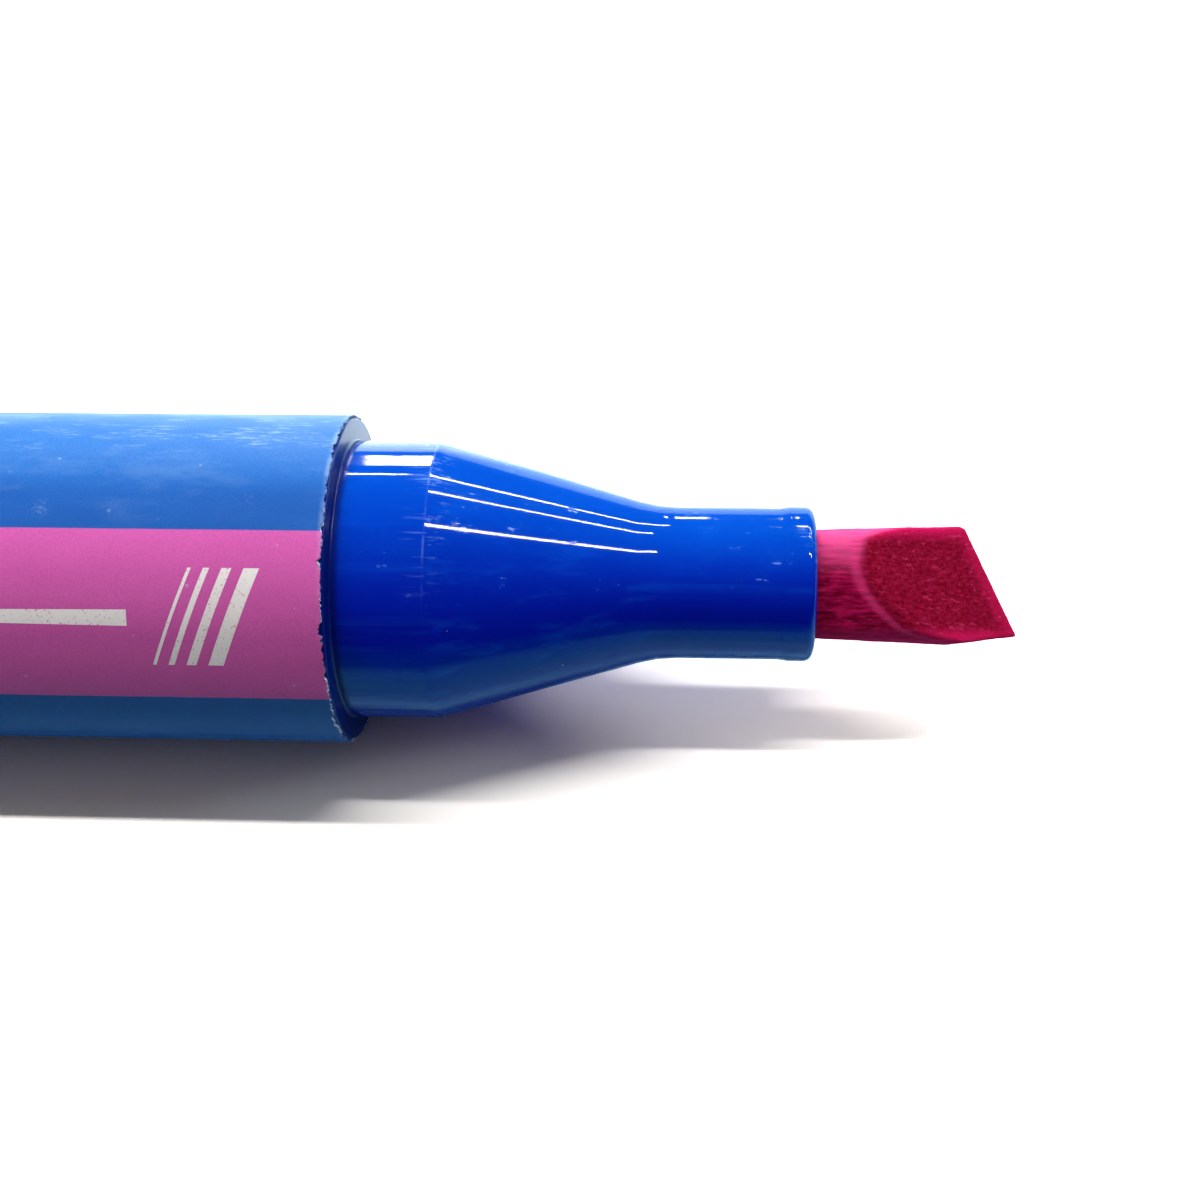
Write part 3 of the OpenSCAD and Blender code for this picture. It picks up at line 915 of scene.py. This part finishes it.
connect(
    table_white,
    blend(table_white, table_rays.outputs["Is Camera Ray"], thrown_back, seen),
    table_shader, "Base Color",
)
floor.data.materials.append(table_white)

# Light
# Long ceiling tubes that lie parallel to the pen, behind it. Three light the table and the pen, and the
# lines and cards only show in its gloss. A window beyond the nib and a pale ceiling fill the shadow.
lamp_far = 0.5
lit_point = Vector((front + 10 * mm, 0, axis_z))


def hang(lamp, towards, shift=0):
    """A lamp hung in the direction given from the nose, facing it, and shifted along the pen."""
    hung = bpy.data.objects.new(lamp.name, lamp)
    hung.location = lit_point + towards * lamp_far + Vector((shift, 0, 0))
    hung.rotation_euler = (-towards).to_track_quat("-Z", "Y").to_euler()
    bpy.context.scene.collection.objects.link(hung)
    return hung


# Each lamp's angle of height, where it starts and ends along the pen, its width and its power
for lamp_name, height, lamp_start, lamp_end, width, watts, lights_up in (
    ("high_tube", 80.2, -0.39, 0.18, 0.014, 2.35, True),
    ("middle_tube", 52, -0.39, 0.18, 0.02, 2.6, True),
    ("back_tube", 32, -0.39, 0.3, 0.03, 1.35, True),
    ("high_line", 74.5, 0.13, 0.4, 0.022, 1.8, False),
    ("middle_line", 43, 0.13, 0.4, 0.015, 1.1, False),
    ("low_line", 26, 0.04, 0.4, 0.014, 1.2, False),
    ("seat_line", 26, -0.2, -0.09, 0.012, 0.35, False),
    ("low_card", 2.2, -0.105, -0.075, 0.06, 0.2, False),
    ("upper_card", 10.4, -0.105, -0.075, 0.07, 0.24, False),
    ("neck_card", 5.5, 0.002, 0.017, 0.045, 0.08, False),
    ("lip_card", 5.5, 0.04, 0.048, 0.04, 0.04, False),
):
    strip = bpy.data.lights.new(lamp_name, "AREA")
    strip.shape = "RECTANGLE"
    strip.size = lamp_end - lamp_start
    strip.size_y = width
    strip.energy = watts
    strip_side = Vector((0, cos(radians(height)), sin(radians(height))))
    hung_strip = hang(strip, strip_side, (lamp_start + lamp_end) / 2)
    hung_strip.visible_diffuse = lights_up
    hung_strip.visible_glossy = not lights_up
# A faint cool window beyond the nib, which clears the shadow of the nose
window_height = radians(35)
window_back = 0.24
window = bpy.data.lights.new("nib_window", "AREA")
window.size = 0.2
window.energy = 0.7
window.color = (0.72, 0.86, 1)
window_side = Vector((cos(window_height), window_back, sin(window_height))).normalized()
hang(window, window_side).visible_glossy = False
room = bpy.data.worlds.new("room")
room.use_nodes = True
air = room.node_tree.nodes["Background"]
air_axes = node(
    room, "ShaderNodeSeparateXYZ", {0: node(room, "ShaderNodeTexCoord").outputs["Generated"]}
)
ceiling_share = ramp(room, air_axes.outputs["Z"], 0.62, 1)
air_rays = node(room, "ShaderNodeLightPath")
room_dim = (0.003, 0.003, 0.003, 1)
room_ceiling = (0.39, 0.34, 0.29, 1)
room_mirrored = (0.04, 0.04, 0.042, 1)
room_seen = (1, 1, 1, 1)
air_colour = blend(room, ceiling_share, room_dim, room_ceiling)
air_colour = blend(room, air_rays.outputs["Is Glossy Ray"], air_colour, room_mirrored)
air_colour = blend(room, air_rays.outputs["Is Camera Ray"], air_colour, room_seen)
connect(room, air_colour, air, "Color")
bpy.context.scene.world = room

# Camera
# It looks down on the pen's nose from the front at a steep angle, from over the cone and close enough
# for the barrel to run out of the picture.
camera_data = bpy.data.cameras.new("camera")
camera_data.lens = 50
camera_data.sensor_width = 36
camera_data.clip_start = 0.005
camera = bpy.data.objects.new("camera", camera_data)
camera_far = 81.2 * mm
camera_ahead = 16.2 * mm
camera_drop = 0.9 * mm
camera_roll = radians(0.75)
camera_yaw = radians(3)
square_back = Vector((0, -cos(view_turn), sin(view_turn)))
upwards = Vector((0, sin(view_turn), cos(view_turn)))
view_back = square_back * cos(camera_yaw) + Vector((sin(camera_yaw), 0, 0))
camera.location = Vector((flange_face + camera_ahead, 0, axis_z)) + square_back * camera_far
camera.location -= upwards * camera_drop
view_right = upwards.cross(view_back).normalized()
camera_axes = Matrix((view_right, view_back.cross(view_right), view_back)).transposed()
camera.rotation_mode = "QUATERNION"
camera.rotation_quaternion = (Matrix.Rotation(camera_roll, 3, view_back) @ camera_axes).to_quaternion()
bpy.context.scene.collection.objects.link(camera)
bpy.context.scene.camera = camera
bpy.context.scene.view_settings.view_transform = "Standard"
